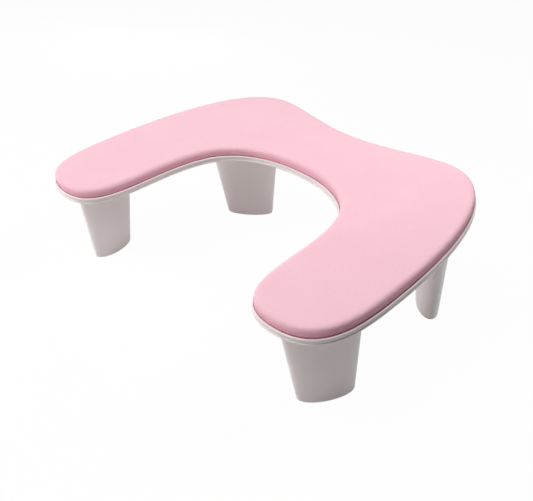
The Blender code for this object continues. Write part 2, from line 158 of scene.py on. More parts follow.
class HandRestTray(bpy.types.PropertyGroup):
    """Sizes of the moulded tray."""

    ledge: length("Ledge", "Width of the rim beside the pad", 0.0018)
    recess: length("Recess", "Depth of the recess for the pad", 0.003)
    deck: length("Deck", "Thickness of the deck", 0.0025)
    skirt: length("Skirt", "Height of the skirt", 0.008)
    wall: length("Wall", "Thickness of the skirt", 0.0025)
    rim_fillet: length("Rim fillet", "Rounding along the top of the rim", 0.0008)
    skirt_fillet: length("Skirt fillet", "Rounding along the foot of the skirt", 0.001)
    lip: length("Lip", "Height of the lip over the set-in band", 0.0022)
    bead: length("Bead", "Height of the bead under the set-in band", 0.0018)
    band: length("Band", "How far the band is set in between lip and bead", 0.0008)
    rib: length("Rib", "Thickness of a rib", 0.002)
    rib_drop: length("Rib drop", "How far a rib stands down from the deck", 0.002)
    rib_pitch: length("Rib pitch", "Distance from rib to rib", 0.075)
    spigot_drop: length("Spigot drop", "How far a spigot reaches into its leg", 0.006)
    spigot_wall: length("Spigot wall", "Thickness of a spigot", 0.002)
    boss_wall: length("Boss wall", "Thickness round a screw", 0.0026)
    fit: length("Fit", "Gap between pieces that touch", 0.0003)


class HandRestPad(bpy.types.PropertyGroup):
    """Sizes of the cushion."""

    rise: length("Rise", "Height of the cushion over the rim", 0.012)
    roll: length("Roll", "Radius of the rounded upper edge", 0.0048)
    waist: length("Waist", "Height where the side is widest", 0.0058)
    tuck: length("Tuck", "How far the side is drawn in below the waist", 0.0005)
    seat: length("Seat", "Gap between the tucked edge and the rim", 0.0003)
    waist_share: ratio("Waist share", "Share of the height over the waist that is rounded", 0.6)
    # Painted shade: below these heights over the rim the cover is blended into the painted side-shade colour
    painted_shade_low: length("Shade low", "Height up to which the cover has its side colour", 0.0040)
    painted_shade_high: length("Shade high", "Height from which the cover has its face colour", 0.0118)
    cover: length("Cover", "Thickness of the cover", 0.001)
    board: length("Board", "Thickness of the stiff board", 0.003)
    crown: length("Crown", "How far the middle swells", 0.0008)
    voxel: length("Voxel", "Mesh size of the cover", 0.0034)
    pressure: ratio("Pressure", "Pressure of the foam under the cover", 4.0)


class HandRestLegs(bpy.types.PropertyGroup):
    """Sizes of the legs, their feet and screws."""

    foot_length: length("Foot length", "Length of a leg's oval at the floor", 0.0735)
    foot_width: length("Foot width", "Width of a leg's oval at the floor", 0.0305)
    taper_length: ratio("Length taper", "Growth of the length with height", 0.246)
    taper_width: ratio("Width taper", "Growth of the width with height", 0.124)
    wall: length("Wall", "Thickness of a leg", 0.0025)
    floor: length("Floor", "Thickness of a leg's end", 0.003)
    front_inset: length("Front inset", "From the widest line to a front leg", 0.0591)
    front_y: length("Front at", "From the tips to a front leg", 0.067)
    front_turn: angle("Front turn", "Turn of a front leg's oval", 70)
    front_splay: vector("Front splay", "Slide of a front leg with depth", (0.083, -0.020))
    back_inset: length("Back inset", "From the widest line to a back leg", 0.0822)
    back_setback: length("Back setback", "From the crests to a back leg", 0.0733)
    back_turn: angle("Back turn", "Turn of a back leg's oval", 131)
    back_splay: vector("Back splay", "Slide of a back leg with depth", (0.016, 0.039))
    edge: length("Edge", "Rounding of a leg's lower edge", 0.0008)
    segments: IntProperty(name="Segments", description="Facets round a leg", default=96, min=12)
    pad: length("Foot pad", "Thickness of a rubber foot", 0.002)
    pad_edge: length("Foot pad edge", "Rounding of a rubber foot", 0.0003)
    socket: length("Foot socket", "How deep a rubber foot sits in its leg", 0.001)
    margin: length("Foot margin", "From a leg's outline to its rubber foot", 0.004)
    screw_spread: length("Screw spread", "Distance between a leg's two screws", 0.044)
    screw_head: length("Screw head", "Diameter of a leg screw's head", 0.0075)
    screw_shank: length("Screw shank", "Diameter of a leg screw's shank", 0.0036)
    pad_screw_length: length("Pad screw length", "Length of a pad screw", 0.0078)
    pad_screw_head: length("Pad screw head", "Diameter of a pad screw's head", 0.0065)
    pad_screw_shank: length("Pad screw shank", "Diameter of a pad screw's shank", 0.0030)
    head_depth: length("Head depth", "Depth of a countersunk head", 0.002)
    bridge_x: length("Bridge screw", "From the middle to a screw of the bridge", 0.055)
    arm_inset: length("Arm screw inset", "From the widest line to a screw of the arm", 0.071)
    arm_clear: length("Arm screw clearance", "From a leg to the next screw of the arm", 0.075)


class HandRestFinish(bpy.types.PropertyGroup):
    """Colours of the finishes."""

    pink: colour("Pink", "Cover", (0.95, 0.60, 0.68))
    rose: colour("Rose", "Nap of the cover where it lies the other way", (0.92, 0.56, 0.64))
    # Painted shade: a darker, deeper pink for the cushion's lower side, where the shade falls
    painted_side_shade: colour("Fold", "Stretched cover along the side", (0.90, 0.44, 0.54))
    white: colour("White", "Tray and legs", (0.90, 0.81, 0.80))
    rubber: colour("Rubber", "Feet", (0.30, 0.29, 0.29))
    foam: colour("Foam", "Filling of the pad", (0.86, 0.82, 0.66))
    board: colour("Board", "Fibreboard of the pad", (0.55, 0.38, 0.22))
    steel: colour("Steel", "Screws", (0.62, 0.62, 0.63))


class HandRestStage(bpy.types.PropertyGroup):
    """Camera, light and floor."""

    camera_place: vector(
        "Camera place", "Where the camera stands", (0.56856, -0.61157, 0.52052), "TRANSLATION"
    )
    camera_right: vector(
        "Camera right", "Direction to the right of the picture", (0.720844, 0.685725, 0.100826), "DIRECTION"
    )
    camera_back: vector(
        "Camera back", "Direction from the scene to the camera", (0.559733, -0.661741, 0.498797), "DIRECTION"
    )
    lens: ratio("Lens", "Focal length in millimetres", 46.91)
    sensor: ratio("Sensor", "Width of the sensor in millimetres", 36.0)
    clip: length("Clip", "Nearest distance that the camera sees", 0.01)
    shift_x: ratio("Shift right", "Shift of the picture to the right", -0.04662)
    shift_y: ratio("Shift up", "Shift of the picture upwards", 0.02515)
    key_power: ratio("Key light", "Watts of the soft light high in front", 9.3)
    front_power: ratio("Front light", "Watts of the lower light in front", 7.2)
    left_power: ratio("Left light", "Watts of the low light in front on the left", 8.6)
    side_power: ratio("Side light", "Watts of the low light behind on the left", 5.6)
    top_power: ratio("Top light", "Watts of the small soft light overhead", 0.9)
    back_power: ratio("Back light", "Watts of the soft light behind on the right", 4.8)
    floor_level: ratio("Floor lift", "How far the floor shows white to the camera", 0.97)


GROUPS = (
    ("plan", HandRestPlan),
    ("tray", HandRestTray),
    ("pad", HandRestPad),
    ("legs", HandRestLegs),
    ("finish", HandRestFinish),
    ("stage", HandRestStage),
)


class HandRestSettings(bpy.types.PropertyGroup):
    """All settings of the hand rest."""

    plan: PointerProperty(type=HandRestPlan)
    tray: PointerProperty(type=HandRestTray)
    pad: PointerProperty(type=HandRestPad)
    legs: PointerProperty(type=HandRestLegs)
    finish: PointerProperty(type=HandRestFinish)
    stage: PointerProperty(type=HandRestStage)


def settings():
    """The scene's settings of the hand rest."""
    return bpy.context.scene.hand_rest


# Levels and places in the deck's frame

def underside():
    """Height of the deck's underside."""
    tray = settings().tray
    return -tray.recess - tray.deck


def deck_matrix():
    """The slope of the deck, and where the CAD tray holds it."""
    made = settings()
    slope = made.plan.slope
    y = TRAY_LOW.y - made.tray.rim_fillet * sin(slope)
    return Matrix.Translation((0.0, y, made.plan.rim_height)) @ Matrix.Rotation(slope, 4, "X")


def floor_under(y):
    """Height of the table in the deck's frame."""
    plan = settings().plan
    return -plan.rim_height / cos(plan.slope) - y * tan(plan.slope)


def outline_points():
    """Anchors of the whole outline: point, handle before and handle after."""
    plan = settings().plan
    half = plan.width / 2
    lean = Vector((-sin(plan.flank_lean), cos(plan.flank_lean)))
    right = Vector((1.0, 0.0))
    back = Vector((0.0, 1.0))
    notch = Vector((0.0, plan.depth - plan.notch_dip))
    crest = Vector((half - plan.crest_inset, plan.depth))
    widest = Vector((half, plan.widest_y))
    tip = Vector((half - plan.tip_inset, 0.0))
    flank = Vector((half - plan.flank_inset, plan.flank_y))
    bay = Vector((0.0, plan.bay_depth))
    anchors = [
        (notch, -right * plan.notch_pull, right * plan.notch_pull),
        (crest, -right * plan.crest_pull_in, right * plan.crest_pull_out),
        (widest, back * plan.widest_pull_back, -back * plan.widest_pull_front),
        (tip, right * plan.tip_pull_out, -right * plan.tip_pull_in),
        (flank, -lean * plan.flank_pull_front, lean * plan.flank_pull_back),
        (bay, right * plan.bay_pull, -right * plan.bay_pull),
    ]
    flip = Matrix.Diagonal((-1.0, 1.0))
    other_half = reversed(anchors[1:-1])
    return anchors + [(flip @ point, flip @ after, flip @ before) for point, before, after in other_half]


def leg_facts(end, side):
    """Top centre, turn, splay, foot centre and foot level of one leg, in the deck's frame."""
    made = settings()
    legs = made.legs
    if end == "front":
        inset, y = legs.front_inset, legs.front_y
        turn, splay = legs.front_turn, legs.front_splay
    else:
        inset, y = legs.back_inset, made.plan.depth - legs.back_setback
        turn, splay = legs.back_turn, legs.back_splay
    top = Vector((side * (made.plan.width / 2 - inset), y))
    slide = Vector((side * splay[0], splay[1]))
    high = underside() - made.tray.fit
    level = floor_under(top.y)
    level = floor_under((top + slide * (high - level)).y)
    return {
        "top": top,
        "high": high,
        "turn": turn if side > 0 else pi - turn,
        "slide": slide,
        "level": level,
        "foot": top + slide * (high - level),
    }


def named_legs():
    """Name and facts of each leg."""
    return [("%s_%s" % (end, word), leg_facts(end, side)) for end in ENDS for word, side in SIDES]


def leg_screw_places(facts):
    """Centres of a leg's two screws."""
    along = Vector((cos(facts["turn"]), sin(facts["turn"])))
    spread = settings().legs.screw_spread
    return [facts["top"] + along * side * spread / 2 for side in (-1, 1)]


def pad_screw_places():
    """Centres of the screws that hold the pad."""
    made = settings()
    plan, legs = made.plan, made.legs
    bridge_y = (plan.bay_depth + plan.depth - plan.notch_dip) / 2
    arm_x = plan.width / 2 - legs.arm_inset
    places = [
        (legs.bridge_x, bridge_y),
        (arm_x, legs.front_y + legs.arm_clear),
        (arm_x, plan.depth - legs.back_setback - legs.arm_clear),
    ]
    return [Vector((side * x, y)) for x, y in places for side in (-1, 1)]


# Working by hand on one object

def take(obj):
    """Select one object alone and make it active."""
    bpy.ops.object.select_all(action="DESELECT")
    obj.select_set(True)
    bpy.context.view_layer.objects.active = obj
    return obj


def select_where(obj, kind, test):
    """Enter edit mode with the vertices, edges or faces selected that pass the test."""
    take(obj)
    bpy.ops.object.mode_set(mode="EDIT")
    bpy.ops.mesh.select_mode(type=kind)
    bpy.ops.mesh.select_all(action="DESELECT")
    bpy.ops.object.mode_set(mode="OBJECT")
    parts = {"VERT": obj.data.vertices, "EDGE": obj.data.edges, "FACE": obj.data.polygons}[kind]
    for part in parts:
        part.select = test(part)
    bpy.ops.object.mode_set(mode="EDIT")


def done():
    """Leave edit mode."""
    bpy.ops.object.mode_set(mode="OBJECT")


def at_level(obj, height):
    """A test for edges that lie at one height."""
    verts = obj.data.vertices
    return lambda edge: all(abs(verts[index].co.z - height) < SAME for index in edge.vertices)


def round_selected(width, steps=EDGE_STEPS):
    """Round the selected edges, and leave edit mode."""
    bpy.ops.mesh.bevel(offset=width, offset_type="OFFSET", segments=steps, profile=0.5, affect="EDGES")
    done()


def soften(obj, height, width, steps=EDGE_STEPS):
    """Round the edges at one height."""
    select_where(obj, "EDGE", at_level(obj, height))
    round_selected(width, steps)


def apply_place(obj):
    """Put an object's place, turn and size into its mesh."""
    take(obj)
    bpy.ops.object.transform_apply(location=True, rotation=True, scale=True)


def use_modifier(obj, kind, **values):
    """Add a modifier and apply it."""
    take(obj)
    modifier = obj.modifiers.new(kind.title(), kind)
    for name, value in values.items():
        setattr(modifier, name, value)
    bpy.ops.object.modifier_apply(modifier=modifier.name)


def cut(obj, tools, operation="DIFFERENCE"):
    """Cut the tools from the object, or join them on, and use them up."""
    group = bpy.data.collections.new("tools")
    bpy.context.scene.collection.children.link(group)
    for tool in tools:
        bpy.context.scene.collection.objects.unlink(tool)
        group.objects.link(tool)
    use_modifier(
        obj, "BOOLEAN", operation=operation, solver="EXACT", operand_type="COLLECTION", collection=group
    )
    for tool in tools:
        bpy.data.objects.remove(tool, do_unlink=True)
    bpy.data.collections.remove(group)


def in_scene(obj):
    """Keep a new object in the scene's own collection."""
    for collection in list(obj.users_collection):
        collection.objects.unlink(obj)
    bpy.context.scene.collection.objects.link(obj)
    return obj


def slab(name, inset, low, high):
    """The deck's outline, drawn in by inset, as a plate from low to high."""
    bpy.ops.object.select_all(action="DESELECT")
    bpy.ops.curve.primitive_bezier_curve_add(location=(0.0, 0.0, (low + high) / 2))
    obj = in_scene(bpy.context.object)
    obj.name = name
    curve = obj.data
    curve.splines.clear()
    curve.dimensions = "2D"
    curve.fill_mode = "BOTH"
    curve.resolution_u = settings().plan.steps
    curve.extrude = (high - low) / 2
    curve.offset = -inset
    spline = curve.splines.new("BEZIER")
    spline.use_cyclic_u = True
    anchors = outline_points()
    spline.bezier_points.add(len(anchors) - 1)
    for bezier_point, (point, before, after) in zip(spline.bezier_points, anchors):
        bezier_point.handle_left_type = "FREE"
        bezier_point.handle_right_type = "FREE"
        bezier_point.co = (*point, 0.0)
        bezier_point.handle_left = (*(point + before), 0.0)
        bezier_point.handle_right = (*(point + after), 0.0)
    take(obj)
    bpy.ops.object.convert(target="MESH")
    apply_place(obj)
    select_where(obj, "VERT", lambda vert: True)
    bpy.ops.mesh.remove_doubles(threshold=WELD)
    done()
    for sign in (-1, 1):
        select_where(obj, "FACE", lambda face: face.normal.z * sign > LEVEL)
        bpy.ops.mesh.dissolve_faces()
        done()
    select_where(obj, "FACE", lambda face: True)
    bpy.ops.mesh.normals_make_consistent(inside=False)
    done()
    return obj


def drum(name, centre, diameter, low, high, sides=POST_SIDES):
    """A round post or hole, square to the deck."""
    bpy.ops.object.select_all(action="DESELECT")
    bpy.ops.mesh.primitive_cylinder_add(
        vertices=sides,
        radius=diameter / 2,
        depth=high - low,
        location=(centre[0], centre[1], (low + high) / 2),
    )
    obj = in_scene(bpy.context.object)
    obj.name = name
    apply_place(obj)
    return obj


def block(name, centre, size, turn, low, high):
    """A rib or web: a box turned about its own centre line."""
    bpy.ops.object.select_all(action="DESELECT")
    bpy.ops.mesh.primitive_cube_add(
        size=1.0,
        location=(centre[0], centre[1], (low + high) / 2),
        rotation=(0.0, 0.0, turn),
        scale=(size[0], size[1], high - low),
    )
    obj = in_scene(bpy.context.object)
    obj.name = name
    apply_place(obj)
    return obj


def slide_top(obj, high, low, slide):
    """Move the upper ring sideways, so that the piece leans as its leg does."""
    select_where(obj, "VERT", lambda vert: abs(vert.co.z - high) < SAME)
    bpy.ops.transform.translate(value=(*(slide * (low - high)), 0.0))
    done()


def oval(name, facts, margin, low, high):
    """A leg's tapered oval between two heights, drawn in by margin."""
    legs = settings().legs
    sizes = []
    for height in (low, high):
        rise = height - facts["level"]
        sizes.append((
            legs.foot_length + legs.taper_length * rise - 2 * margin,
            legs.foot_width + legs.taper_width * rise - 2 * margin,
        ))
    (low_length, low_width), (high_length, high_width) = sizes
    start = facts["top"] + facts["slide"] * (facts["high"] - low)
    bpy.ops.object.select_all(action="DESELECT")
    bpy.ops.mesh.primitive_cylinder_add(vertices=legs.segments, radius=0.5, depth=high - low)
    obj = in_scene(bpy.context.object)
    obj.name = name
    obj.location = (0.0, 0.0, (low + high) / 2)
    obj.scale = (low_length, low_width, 1.0)
    apply_place(obj)
    select_where(obj, "VERT", lambda vert: abs(vert.co.z - high) < SAME)
    bpy.ops.transform.resize(
        value=(high_length / low_length, high_width / low_width, 1.0), center_override=(0.0, 0.0, high)
    )
    done()
    obj.rotation_euler.z = facts["turn"]
    obj.location = (*start, 0.0)
    apply_place(obj)
    slide_top(obj, high, low, facts["slide"])
    return obj


def floor_cut(obj, height):
    """Cut an object off parallel to the table, at a height above it."""
    plan = settings().plan
    normal = Vector((0.0, sin(plan.slope), cos(plan.slope)))
    point = Vector((0.0, 0.0, -plan.rim_height / cos(plan.slope))) + normal * height
    select_where(obj, "FACE", lambda face: True)
    bpy.ops.mesh.bisect(plane_co=point, plane_no=normal, use_fill=True, clear_inner=True)
    done()


def cone_hole(name, centre, shank, head, face, depth, upward):
    """A screw hole with a conical mouth at face."""
    made = settings()
    fit, mouth = made.tray.fit, made.legs.head_depth
    sign = 1 if upward else -1
    ends = sorted((face + sign * fit, face - sign * depth))
    hole = drum(name, centre, shank + 2 * fit, ends[0], ends[1], HOLE_SIDES)
    bpy.ops.object.select_all(action="DESELECT")
    wide, narrow = head / 2 + fit, shank / 2 + fit
    bpy.ops.mesh.primitive_cone_add(
        vertices=HOLE_SIDES,
        radius1=narrow if upward else wide,
        radius2=wide if upward else narrow,
        depth=mouth + fit,
        location=(centre[0], centre[1], face - sign * (mouth - fit) / 2),
    )
    cone = in_scene(bpy.context.object)
    apply_place(cone)
    return [hole, cone]


def settle(obj, name):
    """Slope a finished piece with the deck, and smooth its faces."""
    obj.matrix_world = deck_matrix()
    apply_place(obj)
    obj.name = name
    obj.data.name = name
    bpy.ops.object.shade_smooth_by_angle(angle=SMOOTH)
    return obj


def finish_with(obj, material):
    """Give an object one material alone."""
    obj.data.materials.clear()
    obj.data.materials.append(finish_named(material))


def hand_over(obj, material, slot, *nodes):
    """Give a finished piece its material and body, and hide the CAD nodes that it stands for. The slot is
    not used.
    """
    if not obj.data.polygons:
        raise RuntimeError("The piece %s has no faces" % obj.name)
    finish_with(obj, material)
    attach(obj, "root")
    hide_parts(*nodes)


# Materials

def node_adder(tree):
    """A function that adds a node to the tree, with its inputs set or linked."""
    def add(kind, inputs=(), **values):
        node = tree.nodes.new(kind)
        for key, value in values.items():
            setattr(node, key, value)
        for socket, value in dict(inputs).items():
            if isinstance(value, bpy.types.NodeSocket):
                tree.links.new(value, node.inputs[socket])
            else:
                node.inputs[socket].default_value = value
        return node

    return add


def new_material(name):
    """A new material, its tree, its shader, and a function that adds nodes."""
    material = bpy.data.materials.new(name)
    material.use_nodes = True
    tree = material.node_tree
    return material, tree, tree.nodes["Principled BSDF"], node_adder(tree)


def feed(tree, shader, outputs):
    """Link node outputs to the shader's inputs by name."""
    for name, output in outputs.items():
        tree.links.new(output, shader.inputs[name])


def relief(add, height, strength, distance):
    """A normal that follows a height."""
    bump = add("ShaderNodeBump", {"Height": height, "Strength": strength, "Distance": distance})
    return bump.outputs["Normal"]


def noise(add, place, scale, detail=2.0, **more):
    """A noise texture's value."""
    inputs = {"Vector": place, "Scale": scale, "Detail": detail}
    inputs.update({key.title(): value for key, value in more.items()})
    return add("ShaderNodeTexNoise", inputs).outputs["Fac"]


def darker(tint, share):
    """A colour brought down to a share of itself."""
    return [value * share for value in tint]


def blend_colours(add, factor, first, second):
    """A colour between two, each a plain colour or a node's output, by a factor."""
    ends = [end if isinstance(end, bpy.types.NodeSocket) else (*end, 1.0) for end in (first, second)]
    return add("ShaderNodeMix", {"Factor": factor, 6: ends[0], 7: ends[1]}, data_type="RGBA").outputs[2]


def deck_height(add, place):
    """Height over the rim, measured square to the deck."""
    matrix = deck_matrix()
    up = matrix.to_3x3() @ Vector((0.0, 0.0, 1.0))
    along = add("ShaderNodeVectorMath", {0: place, 1: tuple(up)}, operation="DOT_PRODUCT")
    base = up.dot(matrix.translation)
    return add("ShaderNodeMath", {0: along.outputs["Value"], 1: base}, operation="SUBTRACT").outputs[0]


def spread(add, value, low, high):
    """Map a texture's middle range to low to high."""
    ends = {"From Min": 0.3, "From Max": 0.7, "To Min": low, "To Max": high}
    return add("ShaderNodeMapRange", {"Value": value, **ends}).outputs["Result"]


def leather_material():
    """Soft pink microfibre leather: fine pebbled grain, faint nap, a soft sheen, and painted shade along the
    cushion's lower side.
    """
    made = settings()
    finish, pad = made.finish, made.pad
    material, tree, shader, add = new_material("pink_microfibre_leather")
    place = add("ShaderNodeTexCoord").outputs["Object"]
    nap = noise(add, place, 14.0, 3.0, roughness=0.55)
    mottle = noise(add, place, 420.0, roughness=0.6)
    tone = add("ShaderNodeMath", {0: nap, 1: mottle}, operation="MULTIPLY").outputs[0]
    tone = add("ShaderNodeMapRange", {"Value": tone, "From Min": 0.15, "From Max": 0.37})
    face = blend_colours(add, tone.outputs["Result"], finish.rose, finish.pink)
    # Painted shade: a mask by height over the rim, dark near the rim and clear on the rounded top
    edge = add(
        "ShaderNodeMapRange",
        {"Value": deck_height(add, place), "From Min": pad.painted_shade_low, "From Max": pad.painted_shade_high},
        interpolation_type="SMOOTHSTEP",
    )
    grain = add("ShaderNodeTexVoronoi", {"Vector": place, "Scale": 1100.0}, feature="SMOOTH_F1")
    pores = noise(add, place, 2400.0)
    pebble = add("ShaderNodeMath", {0: grain.outputs["Distance"], 1: pores}, operation="ADD").outputs[0]
    feed(tree, shader, {
        # Painted shade: the cover's own tone is blended into the painted side-shade colour towards the rim
        "Base Color": blend_colours(add, edge.outputs["Result"], finish.painted_side_shade, face),
        "Roughness": spread(add, nap, 0.62, 0.72),
        "Normal": relief(add, pebble, 0.18, 0.00012),
    })
    shader.inputs["Specular IOR Level"].default_value = 0.15
    shader.inputs["Sheen Weight"].default_value = 0.03
    shader.inputs["Sheen Roughness"].default_value = 0.5
    shader.inputs["Sheen Tint"].default_value = (1.0, 0.82, 0.86, 1.0)
    return material


def plastic_material():
    """Satin white moulded plastic: a faint flow in the tone and a fine moulded texture."""
    white = settings().finish.white
    material, tree, shader, add = new_material("satin_white_plastic")
    place = add("ShaderNodeTexCoord").outputs["Object"]
    flow = noise(add, place, 9.0, distortion=0.6)
    fine = noise(add, place, 1600.0, roughness=0.6)
    feed(tree, shader, {
        "Base Color": blend_colours(add, spread(add, flow, 0.0, 1.0), darker(white, 0.975), white),
        "Roughness": spread(add, flow, 0.30, 0.38),
        "Normal": relief(add, fine, 0.08, 0.00005),
    })
    shader.inputs["Specular IOR Level"].default_value = 0.4
    return material


def rubber_material():
    """Matt dark rubber with a fine speckle."""
    rubber = settings().finish.rubber
    material, tree, shader, add = new_material("matt_rubber")
    place = add("ShaderNodeTexCoord").outputs["Object"]
    speckle = noise(add, place, 900.0, 3.0)
    feed(tree, shader, {
        "Base Color": blend_colours(add, speckle, darker(rubber, 0.8), rubber),
        "Roughness": spread(add, speckle, 0.78, 0.9),
        "Normal": relief(add, speckle, 0.3, 0.0001),
    })
    return material


def steel_material():
    """Zinc-plated steel with turned marks."""
    steel = settings().finish.steel
    material, tree, shader, add = new_material("zinc_plated_steel")
    place = add("ShaderNodeTexCoord").outputs["Object"]
    marks = noise(add, place, 1300.0, 3.0, roughness=0.7)
    bloom = noise(add, place, 260.0)
    feed(tree, shader, {
        "Base Color": blend_colours(add, bloom, darker(steel, 0.82), steel),
        "Roughness": spread(add, marks, 0.24, 0.42),
        "Normal": relief(add, marks, 0.15, 0.00004),
    })
    shader.inputs["Metallic"].default_value = 1.0
    return material


def foam_material():
    """Open-cell foam: small dark pores in a pale body."""
    foam = settings().finish.foam
    material, tree, shader, add = new_material("open_cell_foam")
    place = add("ShaderNodeTexCoord").outputs["Object"]
    cells = add("ShaderNodeTexVoronoi", {"Vector": place, "Scale": 700.0}).outputs["Distance"]
    feed(tree, shader, {
        "Base Color": blend_colours(add, cells, darker(foam, 0.55), foam),
        "Normal": relief(add, cells, 0.6, 0.0004),
    })
    shader.inputs["Roughness"].default_value = 0.95
    return material


def board_material():
    """Raw fibreboard: short fibres and fine chips."""
    board = settings().finish.board
    material, tree, shader, add = new_material("raw_fibreboard")
    place = add("ShaderNodeTexCoord").outputs["Object"]
    stretched = add("ShaderNodeMapping", {"Vector": place, "Scale": (1.0, 4.0, 1.0)})
    fibre = noise(add, stretched.outputs["Vector"], 320.0, 5.0, roughness=0.7)
    feed(tree, shader, {
        "Base Color": blend_colours(add, fibre, darker(board, 0.62), board),
        "Roughness": spread(add, fibre, 0.75, 0.9),
        "Normal": relief(add, fibre, 0.4, 0.0002),
    })
    return material


FINISHES = {
    "pink_microfibre_leather": leather_material,
    "satin_white_plastic": plastic_material,
    "matt_rubber": rubber_material,
    "zinc_plated_steel": steel_material,
    "open_cell_foam": foam_material,
    "raw_fibreboard": board_material,
}


def finish_named(name):
    """A material by name, made once."""
    return bpy.data.materials.get(name) or FINISHES[name]()


# Cushion

def rounded_pad(name, skin, low):
    """The pad's outline, skin deep: rounded above the waist and drawn in below it, down to low."""
    made = settings()
    pad, tray = made.pad, made.tray
    high = pad.rise - skin
    form = slab(name, tray.ledge + tray.fit + skin, pad.waist, high)
    soften(form, high, pad.roll - skin, ROLL_STEPS)
    select_where(form, "FACE", lambda face: face.normal.z < -LEVEL)
    bpy.ops.mesh.inset(thickness=pad.tuck, depth=pad.waist - low)
    done()
    soften(form, pad.waist, pad.waist_share * (pad.rise - pad.roll - pad.waist))
    return form


def cushion_form():
    """The cushion before it swells, with the neck that sits in the tray's recess."""
    made = settings()
    pad, tray = made.pad, made.tray
    form = rounded_pad("cushion", 0.0, pad.seat)
    select_where(form, "FACE", lambda face: face.normal.z < -LEVEL)
    drop = -tray.recess + tray.fit - pad.seat
    bpy.ops.mesh.extrude_region_move(TRANSFORM_OT_translate={"value": (0.0, 0.0, drop)})
    done()
    return form


def board_low():
    """Height of the board's underside."""
    made = settings()
    return -made.tray.recess + 2 * made.tray.fit + made.pad.cover


def inflate(cover, pad):
    """Let the foam press the cover up by cloth simulation, and keep a share of the swelling."""
    held = cover.vertex_groups.new(name="held")
    held.add([vert.index for vert in cover.data.vertices if vert.co.z < HELD_BELOW], 1.0, "REPLACE")
    rest = [vert.co.copy() for vert in cover.data.vertices]
    take(cover)
    cloth = cover.modifiers.new("Cover", "CLOTH")
    cloth.settings.vertex_group_mass = "held"
    cloth.settings.use_pressure = True
    cloth.settings.uniform_pressure_force = pad.pressure
    cloth.settings.effector_weights.gravity = 0.0
    cloth.collision_settings.use_collision = False
    for step in range(CLOTH_FRAMES):
        bpy.context.scene.frame_set(step + 1)
    bpy.ops.object.modifier_apply(modifier=cloth.name)
    moves = [vert.co - start for vert, start in zip(cover.data.vertices, rest)]
    largest = max(move.length for move in moves)
    for vert, start, move in zip(cover.data.vertices, rest, moves):
        vert.co = start + move * (pad.crown / largest)
    bpy.context.scene.frame_set(1)
    cover.vertex_groups.clear()


class HANDREST_OT_cushion(bpy.types.Operator):
    """Model the pink cushion and stretch its cover over the foam"""

    bl_idname = "handrest.cushion"
    bl_label = "Cushion"
    bl_options = {"REGISTER", "UNDO"}

    def execute(self, context):
        pad = settings().pad
        form = cushion_form()
        take(form)
        bpy.ops.object.duplicate()
        cover = in_scene(bpy.context.object)
        use_modifier(cover, "REMESH", mode="VOXEL", voxel_size=pad.voxel)
        use_modifier(cover, "SHRINKWRAP", target=form, wrap_method="NEAREST_SURFACEPOINT")
        bpy.data.objects.remove(form, do_unlink=True)
        inflate(cover, pad)
        use_modifier(cover, "SUBSURF", levels=1, render_levels=1)
        settle(cover, "cushion")
        bpy.ops.object.shade_smooth()
        hand_over(cover, "pink_microfibre_leather", "cover", "pad_cover")
        return {"FINISHED"}


class HANDREST_OT_filling(bpy.types.Operator):
    """Model the foam inside the cushion, and the stiff board with blind holes for its screws"""

    bl_idname = "handrest.filling"
    bl_label = "Foam and Board"
    bl_options = {"REGISTER", "UNDO"}

    def execute(self, context):
        made = settings()
        pad, tray, legs = made.pad, made.tray, made.legs
        low = board_low()
        foam = rounded_pad("foam", pad.cover + tray.fit, low + pad.board + tray.fit)
        settle(foam, "foam")
        hand_over(foam, "open_cell_foam", "foam", "pad_foam")
        board = slab("board", tray.ledge + pad.tuck + pad.cover + 2 * tray.fit, low, low + pad.board)
        tip = underside() - tray.rib_drop + legs.pad_screw_length + tray.fit
        width = legs.pad_screw_shank + 2 * tray.fit
        places = pad_screw_places()
        cut(board, [drum("bore", centre, width, low - tray.fit, tip, HOLE_SIDES) for centre in places])
        settle(board, "board")
        hand_over(board, "raw_fibreboard", "board", "pad_board")
        return {"FINISHED"}


# Tray

def tray_ribs():
    """Ribs in both directions over the whole plan."""
    made = settings()
    plan, tray = made.plan, made.tray
    low, high = underside() - tray.rib_drop, underside() + tray.fit
    span = plan.width + plan.depth
    count = int(plan.width / 2 / tray.rib_pitch)
    ribs = [
        block("rib", (step * tray.rib_pitch, plan.depth / 2), (tray.rib, span), 0.0, low, high)
        for step in range(-count, count + 1)
    ]
    ribs += [
        block("rib", (0.0, (step + 0.5) * tray.rib_pitch), (span, tray.rib), 0.0, low, high)
        for step in range(int(plan.depth / tray.rib_pitch))
    ]
    return ribs


def skirt_band():
    """A ring round the skirt, for the band that is set in between lip and bead."""
    tray = settings().tray
    low, high = tray.bead - tray.skirt, -tray.lip
    ring = slab("band", -tray.wall, low, high)
    cut(ring, [slab("core", tray.band, low - tray.fit, high + tray.fit)])
    return ring


